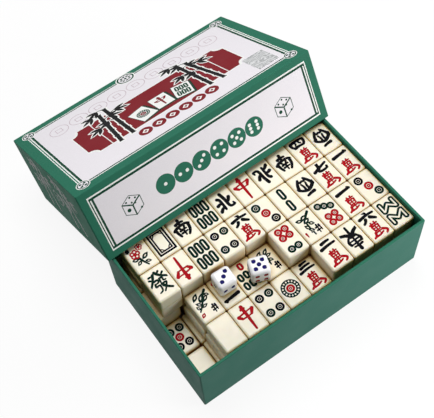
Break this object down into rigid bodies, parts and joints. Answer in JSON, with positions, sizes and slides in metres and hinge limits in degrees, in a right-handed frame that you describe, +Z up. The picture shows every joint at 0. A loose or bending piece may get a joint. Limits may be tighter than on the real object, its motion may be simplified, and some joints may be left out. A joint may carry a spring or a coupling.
{
  "type": "mahjong case",
  "caption": "Two-piece rigid board game box: an open tray stacked with small mahjong tiles and two dice, with its deep lid leaning on the tray.",
  "frame": {"origin": "middle of the tray's underside, on the surface it stands on", "axes": "+X along the tray to its right end, +Y from the open front row towards the leaning lid, +Z up"},
  "size_m": [0.1678, 0.2052, 0.0904],
  "materials": {
    "greyboard": "bare greyboard, 1.5 mm, pressed paper pulp",
    "stay_paper": "gummed kraft paper stay",
    "green_wrap": "art paper printed green, matt film laminated",
    "silver_foil": "silver foil sticker, satin",
    "tile_resin": "cream melamine resin, tumbled to a satin polish, engraved and painted faces",
    "dice_resin": "white acrylic resin, polished, drilled and painted pips"
  },
  "bodies": {
    "tray": {"tray_board": "greyboard", "tray_corner_stays": "stay_paper", "tray_wrap": "green_wrap", "tile_row2_col05": "tile_resin", "tiles_row1_from_col02": "tile_resin", "tiles_row1_from_col07": "tile_resin", "tiles_row2_from_col02": "tile_resin", "tiles_row2_from_col06": "tile_resin", "tiles_row3_from_col01": "tile_resin", "tiles_row4_from_col01": "tile_resin"},
    "lid": {"lid_board": "greyboard", "lid_corner_stays": "stay_paper", "lid_wrap": "green_wrap", "lid_seal": "silver_foil"},
    "tile_row1_col01": {"tile_row1_col01": "tile_resin"},
    "tile_row1_col02": {"tile_row1_col02": "tile_resin"},
    "tile_row1_col03": {"tile_row1_col03": "tile_resin"},
    "tile_row1_col04": {"tile_row1_col04": "tile_resin"},
    "tile_row1_col05": {"tile_row1_col05": "tile_resin"},
    "tile_row1_col06": {"tile_row1_col06": "tile_resin"},
    "tile_row1_col07": {"tile_row1_col07": "tile_resin"},
    "tile_row1_col08": {"tile_row1_col08": "tile_resin"},
    "tile_row1_col09": {"tile_row1_col09": "tile_resin"},
    "tile_row1_col10": {"tile_row1_col10": "tile_resin"},
    "tile_row2_col01": {"tile_row2_col01": "tile_resin"},
    "tile_row2_col02": {"tile_row2_col02": "tile_resin"},
    "tile_row2_col03": {"tile_row2_col03": "tile_resin"},
    "tile_row2_col04": {"tile_row2_col04": "tile_resin"},
    "tile_row2_col06": {"tile_row2_col06": "tile_resin"},
    "tile_row2_col07": {"tile_row2_col07": "tile_resin"},
    "tile_row2_col08": {"tile_row2_col08": "tile_resin"},
    "tile_row2_col09": {"tile_row2_col09": "tile_resin"},
    "tile_row2_col10": {"tile_row2_col10": "tile_resin"},
    "tile_row3_col01": {"tile_row3_col01": "tile_resin"},
    "tile_row3_col02": {"tile_row3_col02": "tile_resin"},
    "tile_row3_col03": {"tile_row3_col03": "tile_resin"},
    "tile_row3_col04": {"tile_row3_col04": "tile_resin"},
    "tile_row3_col05": {"tile_row3_col05": "tile_resin"},
    "tile_row3_col06": {"tile_row3_col06": "tile_resin"},
    "tile_row3_col07": {"tile_row3_col07": "tile_resin"},
    "tile_row3_col08": {"tile_row3_col08": "tile_resin"},
    "tile_row3_col09": {"tile_row3_col09": "tile_resin"},
    "tile_row3_col10": {"tile_row3_col10": "tile_resin"},
    "die_a": {"die_a": "dice_resin"},
    "die_b": {"die_b": "dice_resin"}
  },
  "joints": [
    {"name": "lid_lift", "type": "slide", "parent": "tray", "child": "lid", "axis": [0, 0, 1], "range_m": [0, 0.12]},
    {"name": "lift_tile_row1_col01", "type": "slide", "parent": "tray", "child": "tile_row1_col01", "axis": [0, 0, 1], "range_m": [0, 0.06]},
    {"name": "lift_tile_row1_col02", "type": "slide", "parent": "tray", "child": "tile_row1_col02", "axis": [0, 0, 1], "range_m": [0, 0.06]},
    {"name": "lift_tile_row1_col03", "type": "slide", "parent": "tray", "child": "tile_row1_col03", "axis": [0, 0, 1], "range_m": [0, 0.06]},
    {"name": "lift_tile_row1_col04", "type": "slide", "parent": "tray", "child": "tile_row1_col04", "axis": [0, 0, 1], "range_m": [0, 0.06]},
    {"name": "lift_tile_row1_col05", "type": "slide", "parent": "tray", "child": "tile_row1_col05", "axis": [0, 0, 1], "range_m": [0, 0.06]},
    {"name": "lift_tile_row1_col06", "type": "slide", "parent": "tray", "child": "tile_row1_col06", "axis": [0, 0, 1], "range_m": [0, 0.06]},
    {"name": "lift_tile_row1_col07", "type": "slide", "parent": "tray", "child": "tile_row1_col07", "axis": [0, 0, 1], "range_m": [0, 0.06]},
    {"name": "lift_tile_row1_col08", "type": "slide", "parent": "tray", "child": "tile_row1_col08", "axis": [0, 0, 1], "range_m": [0, 0.06]},
    {"name": "lift_tile_row1_col09", "type": "slide", "parent": "tray", "child": "tile_row1_col09", "axis": [0, 0, 1], "range_m": [0, 0.06]},
    {"name": "lift_tile_row1_col10", "type": "slide", "parent": "tray", "child": "tile_row1_col10", "axis": [0, 0, 1], "range_m": [0, 0.06]},
    {"name": "lift_tile_row2_col01", "type": "slide", "parent": "tray", "child": "tile_row2_col01", "axis": [0, 0, 1], "range_m": [0, 0.06]},
    {"name": "lift_tile_row2_col02", "type": "slide", "parent": "tray", "child": "tile_row2_col02", "axis": [0, 0, 1], "range_m": [0, 0.06]},
    {"name": "lift_tile_row2_col03", "type": "slide", "parent": "tray", "child": "tile_row2_col03", "axis": [0, 0, 1], "range_m": [0, 0.06]},
    {"name": "lift_tile_row2_col04", "type": "slide", "parent": "tray", "child": "tile_row2_col04", "axis": [0, 0, 1], "range_m": [0, 0.06]},
    {"name": "lift_tile_row2_col06", "type": "slide", "parent": "tray", "child": "tile_row2_col06", "axis": [0, 0, 1], "range_m": [0, 0.06]},
    {"name": "lift_tile_row2_col07", "type": "slide", "parent": "tray", "child": "tile_row2_col07", "axis": [0, 0, 1], "range_m": [0, 0.06]},
    {"name": "lift_tile_row2_col08", "type": "slide", "parent": "tray", "child": "tile_row2_col08", "axis": [0, 0, 1], "range_m": [0, 0.06]},
    {"name": "lift_tile_row2_col09", "type": "slide", "parent": "tray", "child": "tile_row2_col09", "axis": [0, 0, 1], "range_m": [0, 0.06]},
    {"name": "lift_tile_row2_col10", "type": "slide", "parent": "tray", "child": "tile_row2_col10", "axis": [0, 0, 1], "range_m": [0, 0.06]},
    {"name": "lift_tile_row3_col01", "type": "slide", "parent": "tray", "child": "tile_row3_col01", "axis": [0, 0, 1], "range_m": [0, 0.06]},
    {"name": "lift_tile_row3_col02", "type": "slide", "parent": "tray", "child": "tile_row3_col02", "axis": [0, 0, 1], "range_m": [0, 0.06]},
    {"name": "lift_tile_row3_col03", "type": "slide", "parent": "tray", "child": "tile_row3_col03", "axis": [0, 0, 1], "range_m": [0, 0.06]},
    {"name": "lift_tile_row3_col04", "type": "slide", "parent": "tray", "child": "tile_row3_col04", "axis": [0, 0, 1], "range_m": [0, 0.06]},
    {"name": "lift_tile_row3_col05", "type": "slide", "parent": "tray", "child": "tile_row3_col05", "axis": [0, 0, 1], "range_m": [0, 0.06]},
    {"name": "lift_tile_row3_col06", "type": "slide", "parent": "tray", "child": "tile_row3_col06", "axis": [0, 0, 1], "range_m": [0, 0.06]},
    {"name": "lift_tile_row3_col07", "type": "slide", "parent": "tray", "child": "tile_row3_col07", "axis": [0, 0, 1], "range_m": [0, 0.06]},
    {"name": "lift_tile_row3_col08", "type": "slide", "parent": "tray", "child": "tile_row3_col08", "axis": [0, 0, 1], "range_m": [0, 0.06]},
    {"name": "lift_tile_row3_col09", "type": "slide", "parent": "tray", "child": "tile_row3_col09", "axis": [0, 0, 1], "range_m": [0, 0.06]},
    {"name": "lift_tile_row3_col10", "type": "slide", "parent": "tray", "child": "tile_row3_col10", "axis": [0, 0, 1], "range_m": [0, 0.06]},
    {"name": "lift_die_a", "type": "slide", "parent": "tile_row2_col03", "child": "die_a", "axis": [0, 0, 1], "range_m": [0, 0.03]},
    {"name": "lift_die_b", "type": "slide", "parent": "tile_row2_col04", "child": "die_b", "axis": [0, 0, 1], "range_m": [0, 0.03]}
  ]
}
